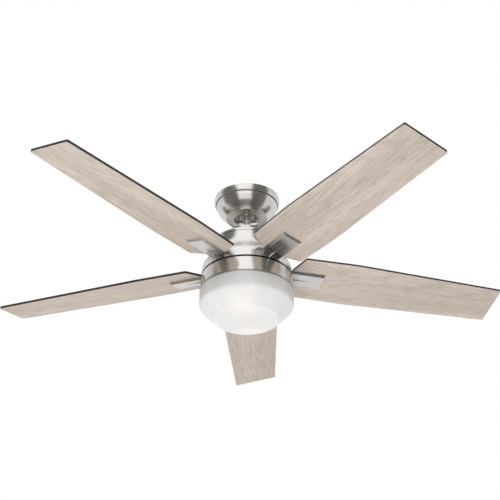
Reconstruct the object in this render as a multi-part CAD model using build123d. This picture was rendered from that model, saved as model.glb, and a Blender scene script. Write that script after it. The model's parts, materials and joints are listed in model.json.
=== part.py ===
from build123d import *
import math
import os

# Five-blade ceiling fan with a light bowl, 54 inches across the blade tips.
# Frame: +Z is up, and the origin is the centre of the bracket's top face, on the ceiling.
# Everything hangs below Z = 0. Lengths are in millimetres and angles in degrees.

# ---- driving dimensions -------------------------------------------------------------

SWEEP = 1372.0                 # circle that the blade tips run on, 54 in
BLADE_COUNT = 5
BLADE_Z = -211.0               # middle of the blade plane, on the fan's axis
BLADE_PITCH = 12.7             # the counter-clockwise edge is the lower one
FIRST_BLADE = 15.8             # angle of the first blade from +X at rest
BLADE_THICK = 6.0
BLADE_ROOT_R = 116.0
BLADE_SHOULDER_R = 139.0       # where the two root chamfers end
BLADE_WIDEST_R = 276.0
BLADE_ROOT_HALF = 25.0
BLADE_SHOULDER_HALF = 72.5
BLADE_WIDEST_HALF = 75.5
BLADE_TIP_HALF = 60.5

IRON_END_R = 203.5             # outer end of the iron's rim
IRON_RIM_HALF = 26.7
IRON_FACE_HALF = 22.4
IRON_RIM_THICK = 3.0
IRON_DEPTH = 7.2               # from the blade's underside to the iron's face
IRON_STEP_HALF = 24.6          # a narrow step runs between the rim and the face
IRON_STEP_DEPTH = 5.2
KEEL_DEPTH = 3.0               # the rib along the middle of the iron's face
KEEL_HALF = 2.8
KEEL_END_R = 166.0

BALL_Z = -36.0                 # centre of the hanger ball, where the fan swings
BALL_R = 27.0
ROD_R = 9.5                    # 3/4 in downrod
ROD_BORE_R = 7.2
ROD_TOP_Z = -16.0
ROD_END_Z = -128.0
SEAT_GAP = 0.3                 # clearance of the ball in its liner and of the liner in its seat

CANOPY_R = 82.0
CANOPY_WALL = 1.2
CANOPY_FLOOR_Z = -57.0
CANOPY_HOLE_R = 33.7
TRIM_R = 85.4

BOX_HOLE_SPACING = 88.9        # 3 1/2 in between the outlet-box screws
BOX_HOLE_HALF = 2.4            # half the width of the two slots
BOX_SLOT_LENGTH = 12.0
SHEET = 2.5                    # bracket steel

YOKE_COVER_R = 51.0
YOKE_COVER_TOP_Z = -103.0
TOP_COVER_R = 86.0
TOP_COVER_Z = -127.0
COVER_SEAM_Z = -141.0
BELL_SEAM_Z = -202.5           # the still bell ends here and the turning shell begins
SHELL_WALL = 1.5
SHELL_BOTTOM_Z = -231.0
SHELL_R = 114.8
NOTCH_HALF_ANGLE = 16.0        # each iron leaves the turning shell through a notch

MOTOR_R = 71.0
MOTOR_TOP_Z = -156.0
MOTOR_SPLIT_Z = -181.0
MOTOR_BOTTOM_Z = -205.0
MOTOR_SHEET = 2.5
SHAFT_R = 8.0
SHAFT_BORE_R = 5.0
SHAFT_BOTTOM_Z = -250.0

BAND_TOP_Z = -235.5            # the dark running gap lies between the shell and this band
BAND_BOTTOM_Z = -274.2
BAND_TOP_R = 115.0
BAND_BOTTOM_R = 118.6
PLATE_Z = -238.0
PAN_Z = -266.5
COLLAR_R = 118.7
COLLAR_LOW_R = 117.4             # the collar draws in a little towards the glass
COLLAR_TOP_Z = -275.2
COLLAR_BOTTOM_Z = -279.0

GLASS_R = 118.7
GLASS_WALL = 4.0
GLASS_BEVEL_Z = -316.0         # the upright wall ends and the bevel begins
GLASS_BOTTOM_Z = -355.0
GLASS_DISC_R = 79.5
LAMP_Z = -301.0
LAMP_OFFSET_Y = 27.0
GLOBE_R = 23.0

FULL = 360.0
BLADE_ANGLES = [FIRST_BLADE + FULL / BLADE_COUNT * k for k in range(BLADE_COUNT)]

# ---- helpers -----------------------------------------------------------------------


def write(node, shape):
    """One STEP file per node. A list of separate solids becomes one compound."""
    solids = shape if isinstance(shape, list) else [shape]
    flat = [solid for item in solids for solid in item.solids()]
    export_step(Compound(children=flat) if len(flat) > 1 else flat[0], f"parts/{node}.step")


def turned(*corners, start=0.0, sweep=FULL):
    """Turn a closed outline about Z. Each corner is (radius, z) or (radius, z, fillet)."""
    points = [(corner[0], 0, corner[1]) for corner in corners]
    fillets = [corner[2] if len(corner) > 2 else 0 for corner in corners]
    if any(fillets):
        outline = FilletPolyline(*points, radius=fillets, close=True)
    else:
        outline = Polyline(*points, close=True)
    solid = revolve(make_face(outline), Axis.Z, revolution_arc=sweep)
    return Rot(0, 0, start) * solid


def ring(inner, outer, low, high):
    """A plain ring or, with no inner radius, a disc."""
    return turned((inner, low), (outer, low), (outer, high), (inner, high))


def sector(inner, outer, low, high, middle, width):
    """A piece of a ring, centred on an angle."""
    return turned(
        (inner, low), (outer, low), (outer, high), (inner, high), start=middle - width / 2, sweep=width
    )


def block(x, y, z):
    """A box given by its three (low, high) pairs."""
    size = [pair[1] - pair[0] for pair in (x, y, z)]
    centre = [(pair[1] + pair[0]) / 2 for pair in (x, y, z)]
    return Pos(*centre) * Box(*size)


def upright(radius, low, high, x=0.0, y=0.0):
    """A cylinder along Z."""
    return Pos(x, y, (low + high) / 2) * Cylinder(radius, high - low)


def lying(radius, x, y=0.0, z=0.0):
    """A cylinder along X between the two values of x."""
    return Pos((x[0] + x[1]) / 2, y, z) * Rot(0, 90, 0) * Cylinder(radius, x[1] - x[0])


def screw_down(head_r, head_h, shank_r, length, x=0.0, y=0.0, z=0.0):
    """A pan head above z and its shank below z."""
    head = turned((0, 0), (head_r, 0), (head_r, head_h, head_h * 0.6), (0, head_h))
    head -= upright(head_r * 0.42, head_h * 0.45, head_h + 1)
    return Pos(x, y, z) * (head + upright(shank_r, -length, 0.01))


def around(count, solid, first=0.0):
    """Copies of a solid at even steps about Z."""
    return [Rot(0, 0, first + FULL / count * k) * solid for k in range(count)]


def curved_shell(outer, wall):
    """A thin turned shell whose outside is a smooth curve through the given (radius, z) points."""
    spline = Spline(*[(r, 0, z) for r, z in outer])
    inner = []
    for k in range(len(outer)):
        along = spline % (k / (len(outer) - 1)) if 0 < k < len(outer) - 1 else spline % (k > 0)
        near = outer[k]
        before, after = outer[max(k - 1, 0)], outer[min(k + 1, len(outer) - 1)]
        if 0 < k < len(outer) - 1:
            run, fall = after[0] - before[0], after[1] - before[1]
        else:
            run, fall = along.X, along.Z
        size = math.hypot(run, fall)
        inner.append((near[0] + fall / size * wall, near[1] - run / size * wall))
    back = Spline(*[(r, 0, z) for r, z in reversed(inner)])
    outline = [spline, Line(spline @ 1, back @ 0), back, Line(back @ 1, spline @ 0)]
    return revolve(make_face(outline), Axis.Z)


def on_blade(angle, solid):
    """Move a piece from a blade's own frame (X outward, Z up, at the axis) to its place."""
    return Pos(0, 0, BLADE_Z) * Rot(0, 0, angle) * Rot(-BLADE_PITCH, 0, 0) * solid


# ---- ceiling bracket and canopy -------------------------------------------------------

SEAT_R = BALL_R + 2 * SEAT_GAP + 2.4
SEAT_TOP_Z = BALL_Z - 4.0
SEAT_LOW_Z = BALL_Z - 18.0
EAR_X = 79.0
EAR_HALF = 10.0
ARM_X = 32.5
ARM_HALF = 14.0
ARM_LOW_Z = BALL_Z - 9.0
CUP_R = SEAT_R + 4.0
CANOPY_SCREW_Z = -9.0


def hanger_bracket():
    """Stamped ceiling plate, two ears for the canopy screws, and two arms that hold the seat's cup."""
    plate = block((-EAR_X, EAR_X), (-EAR_HALF, EAR_HALF), (-SHEET, 0))
    plate += block((-58, 58), (-21, 21), (-SHEET, 0))
    plate += block((-20, 20), (21, 50), (-SHEET, 0))
    for side in (-1, 1):
        ear_x = sorted((side * EAR_X, side * (EAR_X - SHEET)))
        ear = block(ear_x, (-EAR_HALF, EAR_HALF), (-13.0, 0))
        ear -= lying(1.75, (ear_x[0] - 1, ear_x[1] + 1), z=CANOPY_SCREW_Z)
        arm_x = sorted((side * ARM_X, side * (ARM_X + SHEET)))
        plate += ear + block(arm_x, (-ARM_HALF, ARM_HALF), (ARM_LOW_Z, -SHEET / 2))
        slot = SlotOverall(BOX_SLOT_LENGTH, 2 * BOX_HOLE_HALF)
        plate -= Pos(side * BOX_HOLE_SPACING / 2, 0, -SHEET - 1) * extrude(slot, SHEET + 2)
    seat = ring(0, ARM_X + SHEET, SEAT_LOW_Z, SEAT_TOP_Z) & Pos(0, 0, BALL_Z) * Sphere(CUP_R)
    seat -= Pos(0, 0, BALL_Z) * Sphere(SEAT_R)
    return plate + seat


def socket_liner():
    """Nylon liner, round inside and out, between the ball and the seat."""
    shell = Pos(0, 0, BALL_Z) * (Sphere(SEAT_R - SEAT_GAP) - Sphere(BALL_R + SEAT_GAP))
    return shell & ring(0, SEAT_R + 5, BALL_Z - 15.5, BALL_Z - 5.0)


def canopy():
    """Spun steel bowl with a groove under its trim ring, a flat underside, and a hole for the rod."""
    outside = FilletPolyline(
        (CANOPY_R, 0, -0.5),
        (CANOPY_R, 0, -13.6),
        (79.4, 0, -15.8),
        (79.4, 0, -18.4),
        (80.5, 0, -20.6),
        (78.9, 0, -26.5),
        (71.0, 0, -40.5),
        (61.5, 0, -50.5),
        (53.2, 0, -56.6),
        (50.8, 0, CANOPY_FLOOR_Z),
        (CANOPY_HOLE_R, 0, CANOPY_FLOOR_Z - 2.6),
        radius=[1, 0.6, 0.6, 3, 16, 30, 30, 1.2, 1.5],
    )
    inside = FilletPolyline(
        (CANOPY_HOLE_R, 0, CANOPY_FLOOR_Z - 2.6 + CANOPY_WALL),
        (50.6, 0, CANOPY_FLOOR_Z + CANOPY_WALL),
        (52.4, 0, -55.7),
        (60.6, 0, -49.6),
        (69.9, 0, -39.9),
        (77.7, 0, -26.2),
        (79.2, 0, -20.9),
        (78.2, 0, -18.7),
        (78.2, 0, -15.3),
        (80.8, 0, -13.1),
        (80.8, 0, -0.5),
        radius=[2, 1, 29, 29, 15, 1.5, 1, 1, 1],
    )
    ends = [Line(outside @ 1, inside @ 0), Line(inside @ 1, outside @ 0)]
    bowl = revolve(make_face([outside, ends[0], inside, ends[1]]), Axis.Z)
    for side in (-1, 1):
        hole_x = sorted((side * (CANOPY_R + 2), side * (CANOPY_R - 4)))
        bowl -= lying(2.2, hole_x, z=CANOPY_SCREW_Z)
    return bowl


def canopy_screws():
    """One pan-head screw a side, through the canopy into the bracket's ear."""
    out = []
    for side in (-1, 1):
        shank = lying(1.7, sorted((side * 73.0, side * (CANOPY_R + 0.1))), z=CANOPY_SCREW_Z)
        head = lying(4.0, sorted((side * CANOPY_R, side * (CANOPY_R + 1.5))), z=CANOPY_SCREW_Z)
        out.append(shank + head)
    return out


def canopy_trim_ring():
    """Clip-on ring that hides the canopy's screws, with a bead along its lower edge."""
    return turned(
        (84.0, 0),
        (84.8, 0, 0.4),
        (TRIM_R, -2.5, 3),
        (TRIM_R, -10.5, 3),
        (84.2, -13.2, 0.8),
        (84.4, -14.2, 0.8),
        (82.6, -17.6, 1.2),
        (81.4, -17.6, 0.4),
        (81.4, -16.6),
        (82.2, -16.4, 0.5),
        (84.0, -12.5, 2),
    )


def remote_receiver():
    """Plastic receiver box under the plate's tab, with its wire ends' stub sleeve."""
    case = fillet(block((-32, 32), (27, 51), (-26, -SHEET)).edges().filter_by(Axis.Z), 3)
    return case + lying(3.0, (-42, -31), y=39, z=-14)


# ---- hanger ball, rod and yoke --------------------------------------------------------

BALL_PIN_Z = -30.0
BALL_SCREW_Z = -44.0
HITCH_Z = -116.0
COUPLING_SCREW_Z = -121.0
PIN_R = 3.0
COUPLING_R = 17.0
COUPLING_TOP_Z = -106.0
COUPLING_BOTTOM_Z = -151.0
FLANGE_R = 36.0
FLANGE_TOP_Z = -147.0
FLANGE_SCREW_R = 29.0


def hanger_ball():
    """Die-cast ball on the rod, cut flat above and below, with pin and set-screw holes."""
    ball = Pos(0, 0, BALL_Z) * Sphere(BALL_R) & ring(0, BALL_R + 1, BALL_Z - 22, BALL_Z + 18)
    ball -= upright(ROD_R + 0.02, BALL_Z - 30, BALL_Z + 30)
    ball -= lying(PIN_R, (-21, 21), z=BALL_PIN_Z)
    return ball - Pos(0, 17, BALL_SCREW_Z) * Rot(90, 0, 0) * Cylinder(2.5, 20)


def downrod():
    """Steel tube with a cross hole at each end."""
    tube = ring(ROD_BORE_R, ROD_R, ROD_END_Z, ROD_TOP_Z)
    tube -= lying(PIN_R, (-20, 20), z=BALL_PIN_Z)
    return tube - lying(PIN_R, (-20, 20), z=HITCH_Z)


def ball_pin():
    """Steel pin through the ball and the rod."""
    return lying(PIN_R, (-21, 21), z=BALL_PIN_Z) - lying(PIN_R, (-1, 1), z=BALL_PIN_Z - 50)


def ball_set_screw():
    """Grub screw that stops the rod turning in the ball."""
    return Pos(0, 15.5, BALL_SCREW_Z) * Rot(90, 0, 0) * Cylinder(2.5, 12)


def motor_coupling():
    """Cast yoke: the rod's socket above, the flange for the covers and the shaft's thread below."""
    body = turned(
        (0, COUPLING_BOTTOM_Z),
        (FLANGE_R, COUPLING_BOTTOM_Z),
        (FLANGE_R, FLANGE_TOP_Z),
        (COUPLING_R, FLANGE_TOP_Z, 3),
        (COUPLING_R, COUPLING_TOP_Z, 1.5),
        (0, COUPLING_TOP_Z),
    )
    body -= upright(ROD_R + 0.02, ROD_END_Z, COUPLING_TOP_Z + 1)
    body -= upright(SHAFT_R, COUPLING_BOTTOM_Z - 1, ROD_END_Z - 3)
    body -= upright(5.0, ROD_END_Z - 4, ROD_END_Z + 1)
    body -= lying(PIN_R, (-30, 30), z=HITCH_Z)
    for side in (-1, 1):
        body -= Pos(0, side * 14, COUPLING_SCREW_Z) * Rot(90, 0, 0) * Cylinder(2.5, 9)
    for hole in around(3, upright(1.5, COUPLING_BOTTOM_Z - 1, FLANGE_TOP_Z + 1, x=FLANGE_SCREW_R)):
        body -= hole
    return body


def hitch_pin():
    """Clevis pin that carries the motor on the rod, drilled for its clip."""
    pin = lying(PIN_R, (-22, 22), z=HITCH_Z) + lying(5.0, (-24, -22), z=HITCH_Z)
    return pin - upright(0.9, HITCH_Z - 9, HITCH_Z + 9, x=20)


def hitch_clip():
    """Spring clip through the end of the clevis pin."""
    leg = upright(0.85, HITCH_Z - 7, HITCH_Z + 4.5, x=20)
    return leg + Pos(20, 0, HITCH_Z + 6.5) * Rot(0, 90, 0) * Torus(2.6, 0.85)


def coupling_screws():
    """Two set screws that stop the rod rattling in the yoke."""
    screw = Pos(0, 13.4, COUPLING_SCREW_Z) * Rot(90, 0, 0) * Cylinder(2.5, 7.8)
    return around(2, screw)


def yoke_cover():
    """Loose cup over the yoke, with a hole for the rod."""
    return turned(
        (11.5, YOKE_COVER_TOP_Z + 0.6),
        (46.0, YOKE_COVER_TOP_Z + 0.6, 8),
        (YOKE_COVER_R, YOKE_COVER_TOP_Z - 2.0, 3),
        (YOKE_COVER_R, TOP_COVER_Z + 0.1),
        (YOKE_COVER_R - 1.2, TOP_COVER_Z + 0.1),
        (YOKE_COVER_R - 1.2, YOKE_COVER_TOP_Z - 2.4, 2),
        (45.6, YOKE_COVER_TOP_Z - 0.6, 7),
        (11.5, YOKE_COVER_TOP_Z - 0.6),
    )


# ---- still housing -----------------------------------------------------------------

ADAPTER_R = 62.0
ADAPTER_TOP_Z = -144.0
BELL_FLANGE_TOP_Z = -142.8
BELL_SCREW_R = 56.0

BELL_OUTSIDE = [
    (85.1, COVER_SEAM_Z - 0.4),
    (85.5, -153.0),
    (87.3, -165.0),
    (91.5, -176.0),
    (98.0, -186.5),
    (104.6, -194.8),
    (110.2, BELL_SEAM_Z),
]


def top_cover():
    """Shallow dish that closes the bell from above; its skirt ends at a fine seam."""
    return turned(
        (26.0, TOP_COVER_Z),
        (48.0, TOP_COVER_Z, 6),
        (79.0, TOP_COVER_Z - 1.0, 12),
        (TOP_COVER_R, TOP_COVER_Z - 6.5, 7),
        (TOP_COVER_R, COVER_SEAM_Z),
        (TOP_COVER_R - 1.2, COVER_SEAM_Z),
        (TOP_COVER_R - 1.2, TOP_COVER_Z - 7.0, 6),
        (78.6, TOP_COVER_Z - 2.2, 11),
        (48.0, TOP_COVER_Z - 1.2, 6),
        (26.0, TOP_COVER_Z - 1.2),
    )


def bell_housing():
    """Bell that hides the motor: nearly upright at the top, flaring to the shoulder."""
    bell = curved_shell(BELL_OUTSIDE, 1.2)
    flange = ring(50.0, 84.6, ADAPTER_TOP_Z, BELL_FLANGE_TOP_Z)
    for hole in around(3, upright(2.2, ADAPTER_TOP_Z - 1, BELL_FLANGE_TOP_Z + 1, x=BELL_SCREW_R)):
        flange -= hole
    return bell + flange


def adapter_plate():
    """Steel plate on the yoke's flange, which carries the bell."""
    plate = ring(COUPLING_R + 3.2, ADAPTER_R, FLANGE_TOP_Z, ADAPTER_TOP_Z)
    for hole in around(3, upright(1.6, FLANGE_TOP_Z - 1, ADAPTER_TOP_Z + 1, x=BELL_SCREW_R)):
        plate -= hole
    for hole in around(3, upright(2.0, FLANGE_TOP_Z - 1, ADAPTER_TOP_Z + 1, x=FLANGE_SCREW_R)):
        plate -= hole
    return plate


def bell_screws():
    """Three screws hold the bell on the plate, and three the plate on the yoke."""
    bell = screw_down(4.0, 2.2, 1.5, 4.6, x=BELL_SCREW_R, z=BELL_FLANGE_TOP_Z)
    plate = screw_down(4.0, 2.2, 1.5, 7.0, x=FLANGE_SCREW_R, z=ADAPTER_TOP_Z)
    return around(3, bell) + around(3, plate)


# ---- motor ------------------------------------------------------------------------

BEARING_INNER_R = 10.5
BEARING_OUTER_R = 14.0
BEARING_R = 17.5
BEARING_LENGTH = 9.0
BEARING_Z = (MOTOR_TOP_Z - MOTOR_SHEET - 5.5, MOTOR_BOTTOM_Z + MOTOR_SHEET + 5.5)
BEARING_BALL_R = 1.65
BEARING_BALLS = 9
LEAD_R = 1.2
STATOR_R = 56.0
STATOR_Z = (-191.5, -169.5)
CAGE_INNER_R = 56.6
SLOTS = 16
COIL_R = (34.0, 52.0)
CAN_FLANGE_R = 77.0


def motor_shaft():
    """Hollow still shaft: the yoke screws on above, the light's plate hangs on it below."""
    return ring(SHAFT_BORE_R, SHAFT_R, SHAFT_BOTTOM_Z, ROD_END_Z - 3.0)


def stator_core():
    """Stack of laminations with winding slots open to the air gap."""
    core = ring(SHAFT_R, STATOR_R, *STATOR_Z)
    for slot in around(SLOTS, block((40, STATOR_R + 1), (-2.6, 2.6), (STATOR_Z[0] - 1, STATOR_Z[1] + 1))):
        core -= slot
    return core


def stator_coils():
    """Copper windings: one bar in every slot and an end ring on each side."""
    low, high = STATOR_Z
    coils = ring(*COIL_R, high, high + 6.5) + ring(*COIL_R, low - 6.5, low)
    for bar in around(SLOTS, block((41, 51.5), (-2.3, 2.3), (low - 0.5, high + 0.5))):
        coils += bar
    return coils


def rotor_cage():
    """Aluminium squirrel cage pressed into the can, 0.6 mm outside the stator."""
    return ring(CAGE_INNER_R, MOTOR_R - MOTOR_SHEET, STATOR_Z[0] - 1.5, STATOR_Z[1] + 1.5)


def rotor_can(top):
    """One half of the turning motor can, with its bearing seat and its joint flange."""
    sign = 1 if top else -1
    face = MOTOR_TOP_Z if top else MOTOR_BOTTOM_Z
    inner = face - sign * MOTOR_SHEET
    seat = inner - sign * (BEARING_LENGTH + 1.0)
    half = turned(
        (SHAFT_R + 3.0, face),
        (MOTOR_R, face, 4),
        (MOTOR_R, MOTOR_SPLIT_Z + sign * MOTOR_SHEET),
        (CAN_FLANGE_R, MOTOR_SPLIT_Z + sign * MOTOR_SHEET),
        (CAN_FLANGE_R, MOTOR_SPLIT_Z),
        (MOTOR_R - MOTOR_SHEET, MOTOR_SPLIT_Z),
        (MOTOR_R - MOTOR_SHEET, inner, 1.5),
        (BEARING_R + 3.0, inner),
        (BEARING_R + 3.0, seat),
        (BEARING_R, seat),
        (BEARING_R, inner),
        (SHAFT_R + 3.0, inner),
    )
    low, high = MOTOR_SPLIT_Z - 4, MOTOR_SPLIT_Z + 4
    for hole in around(BLADE_COUNT, upright(1.5, low, high, x=74.0), 36):
        half -= hole
    if not top:
        for angle in BLADE_ANGLES:
            for side in (-1, 1):
                drill = upright(2.0, face - 1, inner + 1, x=IRON_SCREW_R, y=side * IRON_SCREW_HALF)
                half -= Rot(0, 0, angle) * drill
    return half


def can_screws():
    """Five screws through the joint flange of the two motor halves."""
    screw = screw_down(2.8, 1.8, 1.5, 6.0, x=74.0, z=MOTOR_SPLIT_Z + MOTOR_SHEET)
    return around(BLADE_COUNT, screw, 36)


def bearing_rings(inner, outer, gap_inner=0.0):
    """The same ring of both bearings."""
    half = BEARING_LENGTH / 2
    return [ring(inner + gap_inner, outer, z - half, z + half) for z in BEARING_Z]


def bearing_balls():
    """Balls of both bearings, just clear of the two rings."""
    track = (BEARING_INNER_R + BEARING_OUTER_R) / 2
    balls = []
    for z in BEARING_Z:
        balls += around(BEARING_BALLS, Pos(track, 0, z) * Sphere(BEARING_BALL_R))
    return balls


def lead_wires():
    """Four leads that pass the two cross pins in the rod and draw together for the shaft."""
    out = []
    for x in (-1.4, 1.4):
        for side in (-1, 1):
            route = Polyline(
                (x, side * 4.9, ROD_TOP_Z + 6),
                (x, side * 4.9, HITCH_Z - PIN_R - 1.5),
                (x, side * 2.6, ROD_END_Z + 1.5),
                (x, side * 2.6, SHAFT_BOTTOM_Z - 6),
            )
            section = Plane(origin=route @ 0, z_dir=route % 0) * Circle(LEAD_R)
            out.append(sweep(section, route, transition=Transition.RIGHT))
    return out


# ---- turning shell, blade irons and blades ---------------------------------------------

IRON_SCREW_R = 58.0
IRON_SCREW_HALF = 11.0
TONGUE_TOP_Z = MOTOR_BOTTOM_Z
TONGUE_THICK = 4.0
TONGUE_HALF = 19.0
TONGUE_INNER_R = 46.0
SHELL_PLATE_R = 72.0
SHELL_PLATE_THICK = 1.6
SHELL_SCREW_R = 88.0
NECK_R = (97.0, 107.5)
BLADE_SCREWS = [(150.0, 13.0), (150.0, -13.0), (186.0, 0.0)]
SHELL_OUTSIDE = [
    (110.6, -203.1), (113.0, -207.5), (114.4, -214.0), (SHELL_R, -222.0), (SHELL_R, SHELL_BOTTOM_Z)
]
NOTCH_TOP_Z = BLADE_Z + 5.2


def rotor_shell():
    """Turning shoulder of the housing, with a notch for each iron and a lip behind the seam."""
    shell = curved_shell(SHELL_OUTSIDE, SHELL_WALL)
    plate = ring(SHELL_PLATE_R, 110.6, MOTOR_BOTTOM_Z, MOTOR_BOTTOM_Z + SHELL_PLATE_THICK)
    lip = ring(104.2, 105.4, MOTOR_BOTTOM_Z, BELL_SEAM_Z + 1.6)
    body = shell + plate + lip
    for angle in BLADE_ANGLES:
        body -= sector(109.0, 120.0, SHELL_BOTTOM_Z - 1, NOTCH_TOP_Z, angle, 2 * NOTCH_HALF_ANGLE)
        body -= Rot(0, 0, angle) * upright(2.0, -210, -200, x=SHELL_SCREW_R)
    return body


def keel():
    """Narrow rib along the middle of the iron's face, deepest at the hub and gone past mid-length."""
    face = -BLADE_THICK / 2 - IRON_DEPTH + 0.4
    hub = Polyline((100, -KEEL_HALF, face), (100, 0, face - KEEL_DEPTH), (100, KEEL_HALF, face), close=True)
    end = Polyline(
        (KEEL_END_R, -0.8, face), (KEEL_END_R, 0, face - 0.7), (KEEL_END_R, 0.8, face), close=True
    )
    return Solid.make_loft([Wire(hub.edges()), Wire(end.edges())], ruled=True)


def blade_iron(angle):
    """Cast iron under the blade: tongue, neck, a plug that fills the notch, rim and stepped face."""
    under = -BLADE_THICK / 2
    rim = block((104, IRON_END_R), (-IRON_RIM_HALF, IRON_RIM_HALF), (under - IRON_RIM_THICK, under))
    rim = chamfer(rim.edges().group_by(Axis.Z)[0], 0.5)
    top = under - IRON_RIM_THICK / 2
    face = block((100, IRON_END_R - 2.6), (-IRON_FACE_HALF, IRON_FACE_HALF), (under - IRON_DEPTH, top))
    face = chamfer(face.edges().group_by(Axis.Z)[0], 0.7)
    step = block((102, IRON_END_R - 1.3), (-IRON_STEP_HALF, IRON_STEP_HALF), (under - IRON_STEP_DEPTH, top))
    step = chamfer(step.edges().group_by(Axis.Z)[0], 0.4)
    pad = rim + step + face + keel()
    for u, v in BLADE_SCREWS:
        pad -= upright(2.0, under - IRON_DEPTH + 1.5, 1, x=u, y=v)
    low = TONGUE_TOP_Z - TONGUE_THICK
    tongue = block((TONGUE_INNER_R, NECK_R[1]), (-TONGUE_HALF, TONGUE_HALF), (low, TONGUE_TOP_Z))
    neck = block(NECK_R, (-TONGUE_HALF, TONGUE_HALF), (-219.0, low + 1))
    for side in (-1, 1):
        tongue -= upright(2.0, low - 1, TONGUE_TOP_Z + 1, x=IRON_SCREW_R, y=side * IRON_SCREW_HALF)
    tongue -= upright(2.0, low - 1, TONGUE_TOP_Z + 1, x=SHELL_SCREW_R)
    hub_end = Rot(0, 0, angle) * (tongue + neck)
    plug_width = 2 * (NOTCH_HALF_ANGLE - 0.35)
    plug = sector(108.0, SHELL_R, SHELL_BOTTOM_Z, NOTCH_TOP_Z - 0.4, angle, plug_width)
    plug &= turned(
        (106.5, SHELL_BOTTOM_Z),
        (SHELL_R, SHELL_BOTTOM_Z),
        (SHELL_R, -221.0),
        (114.3, -214.0),
        (112.8, -207.5),
        (111.4, -204.8),
        (106.5, -204.8),
    )
    return hub_end + plug + on_blade(angle, pad)


def blade(angle):
    """Plywood blade with chamfered root, long taper to a straight tip, and three screw holes."""
    tip = math.sqrt((SWEEP / 2) ** 2 - BLADE_TIP_HALF**2)
    half = [
        (BLADE_ROOT_R, BLADE_ROOT_HALF, 3),
        (BLADE_SHOULDER_R, BLADE_SHOULDER_HALF, 5),
        (BLADE_WIDEST_R, BLADE_WIDEST_HALF, 400),
        (tip, BLADE_TIP_HALF, 4),
    ]
    corners = [(u, v) for u, v, _ in half] + [(u, -v) for u, v, _ in reversed(half)]
    fillets = [f for _, _, f in half] + [f for _, _, f in reversed(half)]
    outline = FilletPolyline(*corners, radius=fillets, close=True)
    board = Pos(0, 0, -BLADE_THICK / 2) * extrude(make_face(outline), BLADE_THICK)
    for u, v in BLADE_SCREWS:
        board -= upright(2.6, -BLADE_THICK, BLADE_THICK, x=u, y=v)
    return on_blade(angle, board)


def blade_screws():
    """Three screws a blade, from above, through washer and blade into the iron."""
    screw = screw_down(4.6, 2.4, 2.0, BLADE_THICK + 1 + IRON_DEPTH - 1.7, z=BLADE_THICK / 2 + 1)
    return [on_blade(angle, Pos(u, v, 0) * screw) for angle in BLADE_ANGLES for u, v in BLADE_SCREWS]


def blade_washers():
    """Soft washers between the screw heads and the blades."""
    washer = ring(2.1, 7.0, BLADE_THICK / 2, BLADE_THICK / 2 + 1)
    return [on_blade(angle, Pos(u, v, 0) * washer) for angle in BLADE_ANGLES for u, v in BLADE_SCREWS]


def iron_screws():
    """Screws from below: two hold each iron to the motor and one holds it to the shell's plate."""
    head_z = TONGUE_TOP_Z - TONGUE_THICK
    upside_down = Rot(180, 0, 0) * screw_down(4.2, 2.6, 1.95, TONGUE_THICK + MOTOR_SHEET - 0.2)
    short = Rot(180, 0, 0) * screw_down(4.2, 2.6, 1.95, TONGUE_THICK + SHELL_PLATE_THICK - 0.1)
    out = []
    for angle in BLADE_ANGLES:
        for side in (-1, 1):
            out.append(Rot(0, 0, angle) * Pos(IRON_SCREW_R, side * IRON_SCREW_HALF, head_z) * upside_down)
        out.append(Rot(0, 0, angle) * Pos(SHELL_SCREW_R, 0, head_z) * short)
    return out


# ---- light kit --------------------------------------------------------------------

POST_R = 78.0
PLATE_R = 84.0
PLATE_THICK = 2.5
HOUSING_SCREW_R = 76.0
PAN_R = 115.5
PAN_SHEET = 1.5
HOOK_R = (103.0, 104.4)
HOOK_FOOT_R = 108.6
HOOK_FOOT_Z = (-274.2, -273.0)
LUG_Z = (-272.7, -271.5)
LUG_INNER_R = 105.2
HOOK_ANGLES = [30.0, 150.0, 270.0]
HOOK_WIDTH = 22.0
LUG_WIDTH = 14.0


def switch_housing():
    """Still band between the running gap and the glass, closed above by its own top."""
    return turned(
        (SHAFT_R, BAND_TOP_Z),
        (BAND_TOP_R, BAND_TOP_Z, 1.2),
        (BAND_BOTTOM_R, BAND_BOTTOM_Z),
        (BAND_BOTTOM_R - SHELL_WALL, BAND_BOTTOM_Z),
        (BAND_TOP_R - SHELL_WALL, BAND_TOP_Z - SHELL_WALL, 0.6),
        (SHAFT_R, BAND_TOP_Z - SHELL_WALL),
    )


def mounting_plate():
    """Steel plate clamped on the shaft under the band's top."""
    plate = ring(SHAFT_R, PLATE_R, PLATE_Z - PLATE_THICK, BAND_TOP_Z - SHELL_WALL)
    for hole in around(3, upright(1.5, PLATE_Z - 9, PLATE_Z + 9, x=HOUSING_SCREW_R), 90):
        plate -= hole
    return plate


def housing_screws():
    """Three screws hold the band on the plate, from below."""
    screw = Rot(180, 0, 0) * screw_down(3.4, 2.2, 1.45, 3.4)
    return around(3, Pos(HOUSING_SCREW_R, 0, PLATE_Z - PLATE_THICK) * screw, 90)


def shaft_nut():
    """Hexagon nut on the end of the shaft."""
    hexagon = extrude(RegularPolygon(13.0, 6), 7.0)
    return Pos(0, 0, PLATE_Z - PLATE_THICK - 7.0) * hexagon - upright(SHAFT_R, -270, -230)


def run_capacitor():
    """Motor capacitor in its plastic case, stuck under the plate."""
    case = block((22, 62), (-11, 11), (PLATE_Z - PLATE_THICK - 20, PLATE_Z - PLATE_THICK))
    return fillet(case.edges().filter_by(Axis.Z), 3)


def fitter_posts():
    """Three spacers between the plate and the pan."""
    return around(3, Pos(POST_R, 0, 0) * ring(1.6, 4.5, PAN_Z, PLATE_Z - PLATE_THICK))


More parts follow.
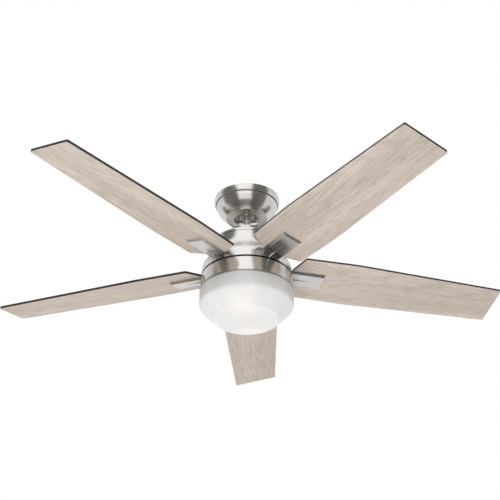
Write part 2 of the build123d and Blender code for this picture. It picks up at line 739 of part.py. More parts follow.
def fitter_pan():
    """White steel pan that closes the band, with three hooks for the glass."""
    pan = turned(
        (0, PAN_Z - PAN_SHEET),
        (PAN_R, PAN_Z - PAN_SHEET, 1.6),
        (PAN_R, PAN_Z + 6),
        (PAN_R - PAN_SHEET, PAN_Z + 6),
        (PAN_R - PAN_SHEET, PAN_Z, 0.6),
        (0, PAN_Z),
    )
    for hole in around(3, upright(2.0, PAN_Z - 9, PAN_Z + 9, x=POST_R)):
        pan -= hole
    for angle in HOOK_ANGLES:
        pan += sector(*HOOK_R, HOOK_FOOT_Z[0], PAN_Z - PAN_SHEET / 2, angle, HOOK_WIDTH)
        pan += sector(HOOK_R[0], HOOK_FOOT_R, *HOOK_FOOT_Z, angle, HOOK_WIDTH)
        stop = angle - LUG_WIDTH / 2 - 1.6
        pan += sector(HOOK_R[0], HOOK_FOOT_R, HOOK_FOOT_Z[0], PAN_Z - PAN_SHEET / 2, stop, 2.4)
    return pan


def pan_screws():
    """Three screws through the pan into the posts."""
    screw = Rot(180, 0, 0) * screw_down(3.6, 2.2, 1.55, 9.0)
    return around(3, Pos(POST_R, 0, PAN_Z - PAN_SHEET) * screw)


def lamp(side):
    """One lamp lying along X: its socket with a foot on the pan, its base, and its globe."""
    z, y = LAMP_Z, side * LAMP_OFFSET_Y
    turn = Pos(0, y, z) * Rot(0, 0, 0 if side > 0 else 180) * Rot(0, 90, 0)
    socket = turned(
        (0, -68), (17.0, -68, 3), (17.0, -38, 1), (13.4, -38), (13.4, -62), (0, -62)
    )
    foot = block((-60, -44), (-8, 8), (15.0, PAN_Z - PAN_SHEET - z))
    foot = Pos(0, y, z) * Rot(0, 0, 0 if side > 0 else 180) * foot
    base = turned(
        (0, -61.5), (8, -61.5, 2), (13.2, -58, 2), (13.2, -38, 1), (16.5, -33, 3), (20.5, -14, 2), (0, -14)
    )
    globe = turned((0, -14), (20.5, -14), (GLOBE_R, -3, 8), (GLOBE_R, 24, 22.5), (0, 24))
    return turn * socket + foot, turn * base, turn * globe


# ---- glass ------------------------------------------------------------------------


def glass_collar():
    """Metal collar bonded round the glass's neck, with three lugs that ride on the pan's hooks."""
    neck_r = 112.4
    collar = turned(
        (neck_r, -270.4),
        (neck_r + 1.2, -270.4),
        (neck_r + 1.2, COLLAR_TOP_Z),
        (COLLAR_R, COLLAR_TOP_Z, 0.4),
        (COLLAR_LOW_R, COLLAR_BOTTOM_Z),
        (COLLAR_LOW_R - 0.8, COLLAR_BOTTOM_Z),
        (COLLAR_LOW_R, COLLAR_TOP_Z - 1.4),
        (neck_r, COLLAR_TOP_Z - 1.4),
    )
    for angle in HOOK_ANGLES:
        collar += sector(LUG_INNER_R, neck_r + 0.5, *LUG_Z, angle, LUG_WIDTH)
    return collar


def glass_bowl():
    """Cased white glass: upright wall, 45 degree bevel and a flat bottom, rounded where they meet."""
    low = GLASS_BOTTOM_Z + GLASS_WALL
    slant = GLASS_WALL * math.tan(math.radians(22.5))
    neck_z = COLLAR_TOP_Z - 1.4
    return turned(
        (0, GLASS_BOTTOM_Z),
        (GLASS_DISC_R, GLASS_BOTTOM_Z, 9),
        (GLASS_R, GLASS_BEVEL_Z, 17),
        (GLASS_R, COLLAR_BOTTOM_Z - 0.1, 0.6),
        (COLLAR_LOW_R - 1.0, COLLAR_BOTTOM_Z - 0.1),
        (COLLAR_LOW_R - 1.0, neck_z),
        (GLASS_R - GLASS_WALL, neck_z),
        (GLASS_R - GLASS_WALL, GLASS_BEVEL_Z + slant, 13),
        (GLASS_DISC_R - slant, low, 5),
        (0, low),
    )


# ---- write every node ---------------------------------------------------------------


def main():
    os.makedirs("parts", exist_ok=True)
    write("hanger_bracket", hanger_bracket())
    write("socket_liner", socket_liner())
    write("canopy", canopy())
    write("canopy_screws", canopy_screws())
    write("canopy_trim_ring", canopy_trim_ring())
    write("remote_receiver", remote_receiver())

    write("hanger_ball", hanger_ball())
    write("downrod", downrod())
    write("ball_pin", ball_pin())
    write("ball_set_screw", ball_set_screw())
    write("motor_coupling", motor_coupling())
    write("hitch_pin", hitch_pin())
    write("hitch_clip", hitch_clip())
    write("coupling_screws", coupling_screws())
    write("yoke_cover", yoke_cover())

    write("top_cover", top_cover())
    write("bell_housing", bell_housing())
    write("adapter_plate", adapter_plate())
    write("bell_screws", bell_screws())

    write("motor_shaft", motor_shaft())
    write("stator_core", stator_core())
    write("stator_coils", stator_coils())
    write("rotor_cage", rotor_cage())
    write("rotor_can_upper", rotor_can(top=True))
    write("rotor_can_lower", rotor_can(top=False))
    write("can_screws", can_screws())
    write("bearing_inner_rings", bearing_rings(SHAFT_R, BEARING_INNER_R))
    write("bearing_outer_rings", bearing_rings(BEARING_OUTER_R, BEARING_R))
    write("bearing_balls", bearing_balls())
    write("lead_wires", lead_wires())

    write("rotor_shell", rotor_shell())
    for number, angle in enumerate(BLADE_ANGLES, start=1):
        write(f"blade_iron_{number}", blade_iron(angle))
        write(f"blade_{number}", blade(angle))
    write("blade_screws", blade_screws())
    write("blade_washers", blade_washers())
    write("iron_screws", iron_screws())

    write("switch_housing", switch_housing())
    write("mounting_plate", mounting_plate())
    write("housing_screws", housing_screws())
    write("shaft_nut", shaft_nut())
    write("run_capacitor", run_capacitor())
    write("fitter_posts", fitter_posts())
    write("fitter_pan", fitter_pan())
    write("pan_screws", pan_screws())
    for number, side in enumerate((1, -1), start=1):
        socket, base, globe = lamp(side)
        write(f"lamp_socket_{number}", socket)
        write(f"lamp_base_{number}", base)
        write(f"lamp_globe_{number}", globe)
    write("glass_collar", glass_collar())
    write("glass_bowl", glass_bowl())


main()
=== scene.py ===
import bpy
import json
import math
from mathutils import Matrix, Vector


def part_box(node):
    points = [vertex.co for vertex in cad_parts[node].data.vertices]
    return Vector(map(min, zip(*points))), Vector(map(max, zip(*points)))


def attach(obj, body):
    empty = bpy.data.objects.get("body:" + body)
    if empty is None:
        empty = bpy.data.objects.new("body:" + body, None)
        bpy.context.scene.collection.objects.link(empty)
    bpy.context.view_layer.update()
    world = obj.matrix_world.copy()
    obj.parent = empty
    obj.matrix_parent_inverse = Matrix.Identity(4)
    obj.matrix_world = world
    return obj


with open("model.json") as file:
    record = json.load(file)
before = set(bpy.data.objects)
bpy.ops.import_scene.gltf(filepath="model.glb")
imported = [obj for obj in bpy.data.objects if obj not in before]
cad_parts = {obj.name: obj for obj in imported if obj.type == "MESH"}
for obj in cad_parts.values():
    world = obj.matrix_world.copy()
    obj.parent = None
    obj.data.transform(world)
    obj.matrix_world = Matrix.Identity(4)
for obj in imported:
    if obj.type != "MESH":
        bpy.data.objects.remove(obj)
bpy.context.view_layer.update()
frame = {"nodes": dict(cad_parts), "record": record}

# Looks of a five-blade ceiling fan with a light bowl. Metres and radians, in the CAD model's frame.

# ---- places that come from the frame -------------------------------------------------

nodes = frame["nodes"]
blade_names = sorted(
    name for name in nodes if name.startswith("blade_") and name[-1].isdigit() and "iron" not in name
)


def middle(name):
    """Centre of a node's box."""
    low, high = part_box(name)
    return (Vector(low) + Vector(high)) / 2


def blade_angle(name):
    """Direction in which a blade points, from +X."""
    place = middle(name)
    return math.atan2(place.y, place.x)


def blade_pitch(name):
    """Slope of a blade across its width, from the normals of its broad faces."""
    outward = Vector((math.cos(blade_angle(name)), math.sin(blade_angle(name)), 0))
    across = Vector((-outward.y, outward.x, 0))
    best = max(nodes[name].data.polygons, key=lambda face: face.area * (face.normal.z > 0.5))
    return math.atan2(best.normal.dot(across), best.normal.z)


# ---- node helpers ----------------------------------------------------------------------


class Graph:
    """Adds one shader node per call and returns its first output."""

    def __init__(self, tree):
        self.tree = tree

    def add(self, kind, values=None, output=0, **settings):
        node = self.tree.nodes.new(kind)
        for name, value in settings.items():
            setattr(node, name, value)
        for key, value in (values or {}).items():
            if isinstance(value, bpy.types.NodeSocket):
                self.tree.links.new(value, node.inputs[key])
            else:
                node.inputs[key].default_value = value
        return node.outputs[output]

    def math(self, operation, a, b=0.0):
        return self.add("ShaderNodeMath", {0: a, 1: b}, operation=operation)

    def sum(self, a, b):
        return self.math("ADD", a, b)

    def product(self, a, b):
        return self.math("MULTIPLY", a, b)

    def scaled(self, vector, x, y, z):
        return self.add("ShaderNodeVectorMath", {0: vector, 1: (x, y, z)}, operation="MULTIPLY")

    def noise(self, vector, scale, detail=3.0, roughness=0.5):
        values = {"Vector": vector, "Scale": scale, "Detail": detail, "Roughness": roughness}
        return self.add("ShaderNodeTexNoise", values)

    def ramp(self, factor, *stops):
        """Stops are (place, value), where value is a number or a colour."""
        out = self.add("ShaderNodeValToRGB", {"Fac": factor})
        elements = out.node.color_ramp.elements
        while len(elements) < len(stops):
            elements.new(0.5)
        for element, (place, value) in zip(elements, stops):
            element.position = place
            element.color = (*value, 1) if isinstance(value, tuple) else (value, value, value, 1)
        return out

    def range(self, value, low, high, to_low=0.0, to_high=1.0):
        """A smooth step between two values."""
        values = {"Value": value, "From Min": low, "From Max": high, "To Min": to_low, "To Max": to_high}
        return self.add("ShaderNodeMapRange", values, interpolation_type="SMOOTHSTEP")

    def mix(self, factor, a, b, blend="MIX"):
        out = self.add("ShaderNodeMix", {"Factor": factor}, output=2, data_type="RGBA", blend_type=blend)
        for key, value in ((6, a), (7, b)):
            socket = out.node.inputs[key]
            if isinstance(value, bpy.types.NodeSocket):
                self.tree.links.new(value, socket)
            else:
                socket.default_value = (*value, 1) if len(value) == 3 else value
        return out

    def xyz(self, vector):
        return self.add("ShaderNodeSeparateXYZ", {0: vector}).node.outputs

    def vector(self, x, y, z):
        return self.add("ShaderNodeCombineXYZ", {0: x, 1: y, 2: z})

    def bump(self, height, strength, distance):
        return self.add("ShaderNodeBump", {"Height": height, "Strength": strength, "Distance": distance})


def material(name):
    """An empty node material, its graph, its shader and its object-space coordinates."""
    made = bpy.data.materials.new(name)
    made.use_nodes = True
    graph = Graph(made.node_tree)
    shader = made.node_tree.nodes["Principled BSDF"]
    place = graph.add("ShaderNodeTexCoord", output="Object")
    return made, graph, shader, place


def connect(graph, shader, **sockets):
    """Link or set the shader's inputs; underscores in the names stand for spaces."""
    for key, value in sockets.items():
        socket = shader.inputs[key.replace("_", " ").title().replace("Ior", "IOR")]
        if isinstance(value, bpy.types.NodeSocket):
            graph.tree.links.new(value, socket)
        else:
            socket.default_value = value


def turned_coordinates(graph, place):
    """Radius and height, and the direction round the axis, of a point on a turned piece."""
    x, y, z = graph.xyz(place)
    radius = graph.math("SQRT", graph.sum(graph.product(x, x), graph.product(y, y)))
    return radius, z, graph.math("DIVIDE", x, radius), graph.math("DIVIDE", y, radius)


def in_blade_frame(graph, vector, angle, pitch):
    """Turn a vector into the frame of a blade: X outward, Y across, Z through it."""
    flat = graph.add("ShaderNodeVectorRotate", {"Vector": vector, "Angle": -angle}, rotation_type="Z_AXIS")
    return graph.add("ShaderNodeVectorRotate", {"Vector": flat, "Angle": -pitch}, rotation_type="X_AXIS")


# ---- metals ----------------------------------------------------------------------------

NICKEL = (0.700, 0.684, 0.655)
NICKEL_DARK = (0.660, 0.643, 0.612)
# painted shade: dark nickel laid on the irons' flat faces where other pieces close them in
PAINTED_SHADE_NICKEL = (0.290, 0.276, 0.256)
TURNED_STROKES = 900.0          # brush strokes per metre of profile
TURNED_BREAKS = 1.2             # how often a stroke fades on its way round
ALONG_STROKES = (12, 1400, 1400)
OPEN_SKY, CLOSED_SKY = 0.78, 0.48
SKY_REACH = 0.07                # how far away another piece still closes an iron in, for the painted shade
FACE_ON = (0.96, 0.99)          # the painted shade keeps to the irons' flat faces
FINE_SKIN = 0.0002              # height of brushed, moulded and fired skins
WIRE_PITCH = 0.0011
SHEET_PITCH = 0.0010


def nickel_tone(graph, lines):
    """Nickel, a little darker along the brush strokes."""
    return graph.mix(graph.ramp(lines, (0.3, 0.0), (0.7, 1.0)), NICKEL_DARK, NICKEL)


def nickel_gloss(graph, lines, cloud, smooth, rough):
    """Roughness that follows the strokes and, more slowly, the handling."""
    return graph.sum(graph.range(lines, 0.2, 0.8, smooth, rough), graph.range(cloud, 0.3, 0.7, -0.01, 0.02))


def ridges(graph, distance, pitch):
    """Even ridges along a distance."""
    return graph.math("SINE", graph.product(distance, 2 * math.pi / pitch))


def brushed_nickel_turned():
    """Satin nickel, brushed round the axis, as on the spun housings."""
    made, graph, shader, place = material("brushed_nickel_turned")
    radius, height, east, north = turned_coordinates(graph, place)
    profile = graph.sum(height, graph.product(radius, 0.8))
    stroke = graph.vector(
        graph.product(east, TURNED_BREAKS),
        graph.product(north, TURNED_BREAKS),
        graph.product(profile, TURNED_STROKES),
    )
    lines = graph.noise(stroke, 1.0, detail=4, roughness=0.65)
    cloud = graph.noise(place, 18, detail=2)
    connect(
        graph, shader, metallic=1.0,
        base_color=nickel_tone(graph, lines),
        roughness=nickel_gloss(graph, lines, cloud, 0.22, 0.27),
        normal=graph.bump(lines, 0.012, FINE_SKIN),
        tangent=graph.add("ShaderNodeTangent", direction_type="RADIAL", axis="Z"),
        anisotropic=0.75,
        anisotropic_rotation=0.25,
    )
    return made


def brushed_nickel_along(name, angle, pitch):
    """The same nickel on a blade iron, brushed along its length, with painted shade on its flat faces where
    other pieces close it in.
    """
    made, graph, shader, place = material(name)
    local = in_blade_frame(graph, place, angle, pitch)
    lines = graph.noise(graph.scaled(local, *ALONG_STROKES), 1.0, detail=4, roughness=0.65)
    cloud = graph.noise(local, 25, detail=2)
    normal = graph.add("ShaderNodeTexCoord", output="Normal")
    facing = graph.math("ABSOLUTE", graph.xyz(in_blade_frame(graph, normal, angle, pitch))[2])
    sky = graph.add("ShaderNodeAmbientOcclusion", {"Distance": SKY_REACH}, output=1, samples=12)
    # painted shade: ambient occlusion darkens the irons' flat faces near the hub
    painted_shade_mask = graph.product(graph.range(sky, OPEN_SKY, CLOSED_SKY), graph.range(facing, *FACE_ON))
    connect(
        graph, shader, metallic=1.0,
        base_color=graph.mix(painted_shade_mask, nickel_tone(graph, lines), PAINTED_SHADE_NICKEL),
        roughness=nickel_gloss(graph, lines, cloud, 0.15, 0.21),
        normal=graph.bump(lines, 0.02, FINE_SKIN),
    )
    return made


def plain_metal(name, light, dark, roughness, grain=60.0, spots=0.05):
    """Plated or cast metal: cloudy tone, uneven gloss and a fine skin."""
    made, graph, shader, place = material(name)
    cloud = graph.noise(place, grain, detail=5, roughness=0.6)
    skin = graph.noise(place, 1500, detail=2)
    connect(
        graph, shader, metallic=1.0,
        base_color=graph.mix(graph.ramp(cloud, (0.35, 0.0), (0.65, 1.0)), dark, light),
        roughness=graph.range(cloud, 0.25, 0.75, roughness - 0.06, roughness + 0.08),
        normal=graph.bump(skin, spots, 0.0003),
    )
    return made


def copper_winding():
    """Enamelled copper, with the turns of the wire as fine ridges."""
    made, graph, shader, place = material("copper_winding")
    radius, height, _, _ = turned_coordinates(graph, place)
    turns = ridges(graph, graph.sum(radius, height), WIRE_PITCH)
    tone = graph.noise(place, 90, detail=3)
    connect(
        graph, shader, metallic=0.85,
        base_color=graph.mix(graph.range(tone, 0.3, 0.7), (0.50, 0.18, 0.07), (0.78, 0.36, 0.16)),
        roughness=graph.range(tone, 0.3, 0.7, 0.25, 0.40),
        normal=graph.bump(turns, 0.5, 0.0003),
        coat_weight=0.5,
    )
    return made


def laminations():
    """Varnished steel stack, with the edges of the sheets as fine lines."""
    made, graph, shader, place = material("stator_laminations")
    sheets = ridges(graph, graph.xyz(place)[2], SHEET_PITCH)
    stain = graph.noise(place, 70, detail=4)
    connect(
        graph, shader, metallic=0.7,
        base_color=graph.mix(graph.range(stain, 0.35, 0.65), (0.17, 0.15, 0.14), (0.33, 0.31, 0.29)),
        roughness=graph.range(stain, 0.3, 0.7, 0.35, 0.50),
        normal=graph.bump(sheets, 0.4, FINE_SKIN),
    )
    return made


# ---- plastics, rubber, ceramic and enamel -------------------------------------------------


def moulded(name, light, dark, roughness, grain=900.0, depth=0.15):
    """Moulded or fired skin: faint mottling, fine grain and uneven gloss."""
    made, graph, shader, place = material(name)
    mottle = graph.noise(place, 40, detail=4)
    skin = graph.noise(place, grain, detail=3, roughness=0.6)
    connect(
        graph, shader,
        base_color=graph.mix(graph.range(mottle, 0.3, 0.7), dark, light),
        roughness=graph.range(skin, 0.3, 0.7, roughness - 0.05, roughness + 0.07),
        normal=graph.bump(skin, depth, FINE_SKIN),
    )
    return made


# ---- oak veneer ------------------------------------------------------------------------

OAK_LIGHT = (0.585, 0.507, 0.440)
OAK_MID = (0.485, 0.415, 0.356)
OAK_DARK = (0.275, 0.225, 0.186)
TOP_FACE_DARK = (0.42, 0.38, 0.345)
EDGE_BROWN = (0.045, 0.034, 0.030)

# Stretch of each part of the grain along, across and through a blade.
DRIFT = (1.4, 5, 1)
SWAY = (4, 70, 1)
FIBRE = (26, 460, 1)
PORES = (45, 1300, 1)
STREAK = (2.4, 150, 1)
BROAD = (1.8, 16, 1)

ARCH = 1500.0                   # how tightly the cathedral's arches bend
ARCH_STEP = 8.0                 # how soon one arch follows another
RING_STEP = 5.2
WANDER = 0.040                  # how far the cathedral strays from the middle of the blade


def oak_grain(graph, local, seed):
    """Grey-washed oak: a long narrow cathedral, straight fibres, pores and slow streaks."""
    shifted = graph.add("ShaderNodeVectorMath", {0: local, 1: (seed * 1.7, 0, seed * 0.37)}, operation="ADD")
    along, across, _ = graph.xyz(local)
    drift = graph.noise(graph.scaled(shifted, *DRIFT), 1.0, detail=2)
    sway = graph.noise(graph.scaled(shifted, *SWAY), 1.0, detail=3)
    centre = graph.sum(across, graph.range(drift, 0.2, 0.8, -WANDER, WANDER))
    arch = graph.product(graph.product(centre, centre), ARCH)
    rings = graph.sum(graph.sum(arch, graph.product(along, ARCH_STEP + seed)), sway)
    wave = graph.math("SINE", graph.product(rings, RING_STEP))
    fibre = graph.noise(graph.scaled(shifted, *FIBRE), 1.0, detail=5, roughness=0.75)
    pores = graph.noise(graph.scaled(shifted, *PORES), 1.0, detail=3, roughness=0.7)
    streak = graph.noise(graph.scaled(shifted, *STREAK), 1.0, detail=4, roughness=0.6)
    broad = graph.noise(graph.scaled(shifted, *BROAD), 1.0, detail=2)
    tone = graph.mix(graph.range(broad, 0.35, 0.65), OAK_MID, OAK_LIGHT)
    tone = graph.mix(graph.range(streak, 0.46, 0.74, 0.0, 0.24), tone, OAK_DARK)
    tone = graph.mix(graph.range(wave, 0.0, 1.0, 0.0, 0.22), tone, OAK_DARK)
    tone = graph.mix(graph.range(fibre, 0.47, 0.66, 0.0, 0.60), tone, OAK_DARK)
    tone = graph.mix(graph.range(fibre, 0.49, 0.30, 0.0, 0.55), tone, OAK_LIGHT)
    tone = graph.mix(graph.range(pores, 0.58, 0.70, 0.0, 0.40), tone, OAK_DARK)
    relief = graph.sum(graph.product(fibre, 0.6), graph.product(pores, 0.4))
    return tone, fibre, relief


def oak_blade(name, angle, pitch, seed):
    """Washed oak below, the same grain darker on the top face, and dark sealed edges."""
    made, graph, shader, place = material(name)
    tone, fibre, relief = oak_grain(graph, in_blade_frame(graph, place, angle, pitch), seed)
    normal = graph.add("ShaderNodeTexCoord", output="Normal")
    through = graph.xyz(in_blade_frame(graph, normal, angle, pitch))[2]
    # the top face shows the same grain, made darker
    darker_top = graph.mix(1.0, tone, TOP_FACE_DARK, blend="MULTIPLY")
    faced = graph.mix(graph.range(through, -0.1, 0.1), tone, darker_top)
    broad_face = graph.range(graph.math("ABSOLUTE", through), 0.55, 0.75)
    connect(
        graph, shader,
        base_color=graph.mix(broad_face, EDGE_BROWN, faced),
        roughness=graph.range(fibre, 0.3, 0.7, 0.46, 0.58),
        normal=graph.bump(relief, 0.12, 0.0003),
        specular_ior_level=0.35,
    )
    return made


# ---- light bowl and lamps -----------------------------------------------------------------

# painted glow: emission on the glass stands in for the lamps' light coming through it
GLOW = (1.0, 0.60, 0.44)
GLOW_STRENGTH = 0.14
GLOW_FALL = 620.0               # per square metre of distance from the middle of a spot of painted glow
GLOW_SPREAD = 2.7               # the spots lie this many times further out than the lamps
GLOW_RISE = 0.004               # and this far above the bottom of the bowl
GLASS_WHITE = (0.690, 0.693, 0.686)
GLASS_MILK = (0.715, 0.717, 0.708)
# painted shade: grey for the unlit top of the glass next to the collar
GLASS_RIM_SHADE = (0.625, 0.624, 0.616)
RIM_DEPTH = 0.030               # height over which the wall fades to the grey of the painted shade at the rim


def opal_glass():
    """Satin opal glass: a painted glow where the lamps shine on its bevel, and painted shade, greyer, up at
    the unlit rim.
    """
    made, graph, shader, place = material("opal_glass")
    low_z, rim_z = (corner[2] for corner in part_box("glass_bowl"))
    painted_glow = 0.0
    for number in (1, 2):
        lamp = middle(f"lamp_globe_{number}")
        spot = (lamp.x, lamp.y * GLOW_SPREAD, low_z + GLOW_RISE)
        offset = graph.add("ShaderNodeVectorMath", {0: place, 1: spot}, operation="SUBTRACT")
        square = graph.add("ShaderNodeVectorMath", {0: offset, 1: offset}, output=1, operation="DOT_PRODUCT")
        painted_glow = graph.sum(graph.math("EXPONENT", graph.product(square, -GLOW_FALL)), painted_glow)
    cloud = graph.noise(place, 26, detail=3)
    body = graph.mix(graph.range(cloud, 0.3, 0.7), GLASS_WHITE, GLASS_MILK)
    rim_shade = graph.range(graph.xyz(place)[2], rim_z - RIM_DEPTH, rim_z)
    skin = graph.noise(place, 700, detail=2)
    connect(
        graph, shader,
        base_color=graph.mix(rim_shade, body, GLASS_RIM_SHADE),
        roughness=graph.range(skin, 0.3, 0.7, 0.26, 0.34),
        normal=graph.bump(skin, 0.02, FINE_SKIN),
        emission_color=(*GLOW, 1.0),
        emission_strength=graph.product(painted_glow, GLOW_STRENGTH),
        coat_weight=0.25,
        coat_roughness=0.12,
    )
    return made


def lamp_diffuser():
    """Milky lamp globe, glowing a little unevenly."""
    made, graph, shader, place = material("lamp_diffuser")
    cloud = graph.noise(place, 60, detail=3)
    connect(
        graph, shader,
        base_color=graph.mix(graph.range(cloud, 0.3, 0.7), (0.92, 0.90, 0.86), (0.97, 0.96, 0.93)),
        roughness=graph.range(cloud, 0.3, 0.7, 0.22, 0.32),
        emission_color=(1.0, 0.86, 0.68, 1.0),
        emission_strength=graph.range(cloud, 0.2, 0.8, 1.6, 1.9),
    )
    return made


# ---- give every CAD node its material ------------------------------------------------------

turned_nickel = brushed_nickel_turned()
by_slot = {
    "nickel_screw": plain_metal("screw_nickel", (0.74, 0.72, 0.69), (0.58, 0.56, 0.53), 0.24),
    "zinc_steel": plain_metal("zinc_steel", (0.62, 0.63, 0.65), (0.47, 0.48, 0.51), 0.32),
    "die_cast": plain_metal("die_cast", (0.55, 0.55, 0.55), (0.42, 0.42, 0.43), 0.42, grain=90, spots=0.2),
    "cast_aluminium": plain_metal(
        "cast_aluminium", (0.72, 0.72, 0.73), (0.58, 0.58, 0.60), 0.40, grain=80, spots=0.25
    ),
    "bearing_steel": plain_metal("bearing_steel", (0.78, 0.78, 0.79), (0.68, 0.68, 0.70), 0.12, spots=0.01),
    "lamination_steel": laminations(),
    "copper_winding": copper_winding(),
    "nylon": moulded("nylon", (0.80, 0.78, 0.72), (0.72, 0.70, 0.64), 0.42),
    "black_plastic": moulded(
        "black_plastic", (0.035, 0.035, 0.038), (0.020, 0.020, 0.022), 0.42, grain=1600, depth=0.3
    ),
    "wire_insulation": moulded("wire_insulation", (0.75, 0.74, 0.70), (0.66, 0.65, 0.61), 0.45),
    "white_enamel": moulded(
        "white_enamel", (0.88, 0.87, 0.85), (0.83, 0.82, 0.79), 0.28, grain=350, depth=0.05
    ),
    "washer_rubber": moulded("washer_rubber", (0.055, 0.052, 0.050), (0.030, 0.028, 0.027), 0.62),
    "socket_ceramic": moulded("socket_ceramic", (0.86, 0.84, 0.79), (0.78, 0.76, 0.70), 0.50, depth=0.25),
    "lamp_base": moulded("lamp_base", (0.88, 0.88, 0.87), (0.82, 0.82, 0.81), 0.35),
    "lamp_globe": lamp_diffuser(),
    "cased_glass": opal_glass(),
    "brushed_nickel": turned_nickel,
}
slot_of = {part["node"]: part["material_slot"] for part in frame["record"]["subparts"]}


def dress(name, look):
    """Put one material on every slot of a CAD node."""
    mesh = nodes[name].data
    if not mesh.materials:
        mesh.materials.append(look)
    for index in range(len(mesh.materials)):
        mesh.materials[index] = look


for node_name in nodes:
    dress(node_name, by_slot.get(slot_of[node_name], turned_nickel))
dress("glass_collar", plain_metal("satin_collar", (0.60, 0.59, 0.56), (0.50, 0.49, 0.47), 0.50, grain=90))
for number, blade_name in enumerate(blade_names):
    angle, pitch = blade_angle(blade_name), -blade_pitch(blade_name)
    iron_name = blade_name.replace("blade_", "blade_iron_")
    dress(blade_name, oak_blade(f"oak_{blade_name}", angle, pitch, number + 1))
    dress(iron_name, brushed_nickel_along(f"nickel_{iron_name}", angle, pitch))

# ---- detail that the CAD model leaves out ------------------------------------------------------

BEAD_R = 0.0525
BEAD_THICK = 0.0018
BEAD_RISE = 0.0026              # the bead's middle, above the canopy's lowest point
BEAD_STEPS = 128
BEAD_SIDES = 12


def canopy_bead():
    """Rolled bead round the canopy's flat underside."""
    middle_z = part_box("canopy")[0][2] + BEAD_RISE
    corners, faces = [], []
    for step in range(BEAD_STEPS):
        turn = 2 * math.pi * step / BEAD_STEPS
        here, ahead = step * BEAD_SIDES, (step + 1) % BEAD_STEPS * BEAD_SIDES
        for side in range(BEAD_SIDES):
            tilt = 2 * math.pi * side / BEAD_SIDES
            radius = BEAD_R + BEAD_THICK * math.cos(tilt)
            z = middle_z + BEAD_THICK * math.sin(tilt)
            corners.append((radius * math.cos(turn), radius * math.sin(turn), z))
            above = (side + 1) % BEAD_SIDES
            faces.append((here + side, ahead + side, ahead + above, here + above))
    mesh = bpy.data.meshes.new("canopy_bead")
    mesh.from_pydata(corners, [], faces)
    mesh.shade_smooth()
    mesh.materials.append(turned_nickel)
    bead = bpy.data.objects.new("canopy_bead", mesh)
    bpy.context.scene.collection.objects.link(bead)
    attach(bead, "ceiling_mount")


canopy_bead()

# ---- floor, light and camera -----------------------------------------------------------------

FLOOR_Z = -3.6
FLOOR_HALF = 9.0
FILL_AT = (-0.30, -0.55, -2.5)
FILL_AIM = (0, 0, -0.2)
FILL_SIZE = 2.5
FILL_POWER = 41.0

LENS = 80.66
SENSOR = 36.0
SHIFT_X = 0.0007
CAMERA_AT = (0.0075, -2.4786, -1.6234)
CAMERA_TILT = math.radians(90 + 30.716)
CAMERA_ROLL = math.radians(0.10)
FAR_CLIP = 100


def pale_floor():
    """A plain pale floor below the fan."""
    made, graph, shader, place = material("pale_floor")
    cloud = graph.noise(place, 1.2, detail=2)
    tone = graph.mix(graph.range(cloud, 0.3, 0.7), (0.86, 0.86, 0.85), (0.89, 0.89, 0.88))
    connect(graph, shader, base_color=tone, roughness=0.8)
    mesh = bpy.data.meshes.new("floor")
    signs = ((-1, -1), (1, -1), (1, 1), (-1, 1))
    corners = [(east * FLOOR_HALF, north * FLOOR_HALF, FLOOR_Z) for east, north in signs]
    mesh.from_pydata(corners, [], [(0, 1, 2, 3)])
    mesh.materials.append(made)
    floor = bpy.data.objects.new("floor", mesh)
    bpy.context.scene.collection.objects.link(floor)
    floor.visible_glossy = False


BOX_LEVEL = 1.30
WALL_LEVEL = 0.90
DARK_LEVEL = 0.19

# Where each edge of the lights fades, from out to in, by a direction's x, y or z.
BOX_WEST, BOX_EAST = (-0.62, -0.46), (0.38, 0.20)
BOX_NORTH, BOX_LOW = (0.72, 0.52), (-0.78, -0.40)
WALL_TOP = (0.74, 0.52)
WALL_SLOPE = 1.2                # the walls end lower on the far side
WALL_FOOT = (-0.90, -0.62)
GAP_TOP, GAP_FOOT = (-0.34, -0.46), (-0.76, -0.66)

# And by its turn from the camera's side, in degrees.
WALL_LEFT, WALL_RIGHT = (-82.0, -98.0), (66.0, 82.0)
GAP_SIDE = (164.0, 173.0)


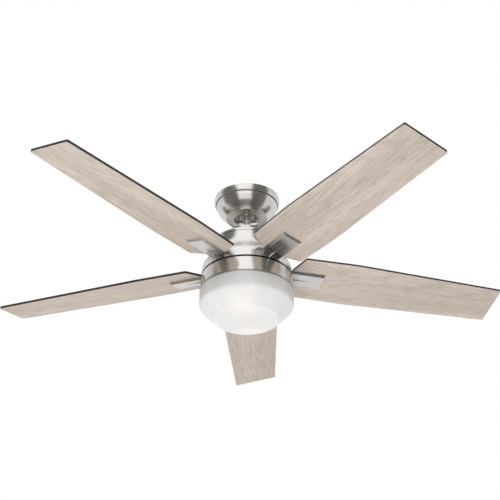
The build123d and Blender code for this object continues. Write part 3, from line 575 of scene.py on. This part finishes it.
def studio_world():
    """A white studio: a soft box over the fan, bright walls at the back, and dark gaps between."""
    world = bpy.data.worlds.new("studio")
    bpy.context.scene.world = world
    world.use_nodes = True
    graph = Graph(world.node_tree)
    x, y, z = graph.xyz(graph.add("ShaderNodeTexCoord", output="Generated"))
    strip = graph.product(graph.range(x, *BOX_WEST), graph.range(x, *BOX_EAST))
    reach = graph.product(graph.range(y, *BOX_NORTH), graph.range(z, *BOX_LOW))
    box = graph.product(graph.product(strip, reach), BOX_LEVEL)
    turn = graph.product(graph.math("ARCTAN2", x, graph.product(y, -1.0)), 180 / math.pi)
    walls = graph.math("MAXIMUM", graph.range(turn, *WALL_LEFT), graph.range(turn, *WALL_RIGHT))
    walls = graph.product(walls, graph.range(z, *WALL_TOP, DARK_LEVEL, WALL_LEVEL))
    walls = graph.product(walls, graph.range(graph.sum(z, graph.product(y, WALL_SLOPE)), *WALL_FOOT))
    gap = graph.product(graph.range(graph.math("ABSOLUTE", turn), *GAP_SIDE), graph.range(z, *GAP_TOP))
    gap = graph.product(gap, graph.range(z, *GAP_FOOT))
    walls = graph.product(walls, graph.math("SUBTRACT", 1.0, gap))
    level = graph.math("MAXIMUM", graph.math("MAXIMUM", box, walls), DARK_LEVEL)
    camera_ray = graph.add("ShaderNodeLightPath", output="Is Camera Ray")
    seen = graph.mix(camera_ray, graph.vector(level, level, level), (1.0, 1.0, 1.0))
    background = world.node_tree.nodes["Background"]
    world.node_tree.links.new(seen, background.inputs["Color"])


def fill_light():
    """A square soft light below the fan, which lifts the undersides and shows in no metal."""
    light = bpy.data.lights.new("fill_from_below", "AREA")
    light.size = FILL_SIZE
    light.energy = FILL_POWER
    lamp = bpy.data.objects.new("fill_from_below", light)
    lamp.location = FILL_AT
    lamp.rotation_euler = (Vector(FILL_AIM) - Vector(FILL_AT)).to_track_quat("-Z", "Y").to_euler()
    lamp.visible_glossy = False
    lamp.visible_camera = False
    bpy.context.scene.collection.objects.link(lamp)


def camera():
    """Looks up at the fan from below and in front."""
    data = bpy.data.cameras.new("camera")
    data.sensor_width = SENSOR
    data.lens = LENS
    data.shift_x = SHIFT_X
    data.clip_end = FAR_CLIP
    view = bpy.data.objects.new("camera", data)
    tilt = Matrix.Rotation(CAMERA_TILT, 4, "X")
    roll = Matrix.Rotation(CAMERA_ROLL, 4, "Z")
    view.matrix_world = Matrix.Translation(CAMERA_AT) @ tilt @ roll
    bpy.context.scene.collection.objects.link(view)
    bpy.context.scene.camera = view


pale_floor()
studio_world()
fill_light()
camera()
bpy.context.scene.view_settings.view_transform = "Standard"
